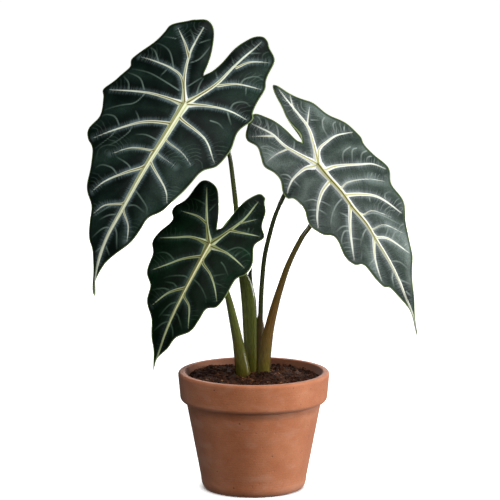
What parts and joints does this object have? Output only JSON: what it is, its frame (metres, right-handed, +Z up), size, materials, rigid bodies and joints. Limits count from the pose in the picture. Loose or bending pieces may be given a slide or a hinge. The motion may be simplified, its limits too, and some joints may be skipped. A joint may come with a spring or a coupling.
{
  "type": "potted alocasia plant",
  "caption": "Potted alocasia: arrow-shaped leaves with pale veins, dark green and silver grey, on arching stalks in a round terracotta pot of soil.",
  "frame": {"origin": "centre of the pot's underside, on the surface that the pot stands on", "axes": "+Z up along the pot's axis, +X to the plant's right, -Y to its front, the side that the leaves' upper faces look towards"},
  "size_m": [0.3212, 0.15, 0.4634],
  "materials": {
    "fired_clay": "unglazed terracotta, matt, slightly mottled and pitted",
    "potting_mix": "coarse dark crumbs with bits of bark, matt",
    "corm_skin": "dull brown fibrous skin",
    "green_stalk": "smooth, waxy, olive green browning towards the foot",
    "papery_scale": "thin dry brown skin, satin",
    "dark_blade": "thick leathery leaf, very dark green with cream veins, satin",
    "silver_blade": "thick leathery leaf, silver grey-green with white veins, satin"
  },
  "bodies": {
    "root": {"pot": "fired_clay", "soil": "potting_mix", "corm": "corm_skin", "stalk_left_leaf": "green_stalk", "stalk_small_leaf": "green_stalk", "stalk_right_leaf": "green_stalk", "stalk_young_leaf": "green_stalk", "scale_leaf": "papery_scale", "rolled_leaf": "dark_blade", "blade_left_leaf": "dark_blade", "blade_small_leaf": "dark_blade", "blade_right_leaf": "silver_blade"}
  },
  "joints": []
}
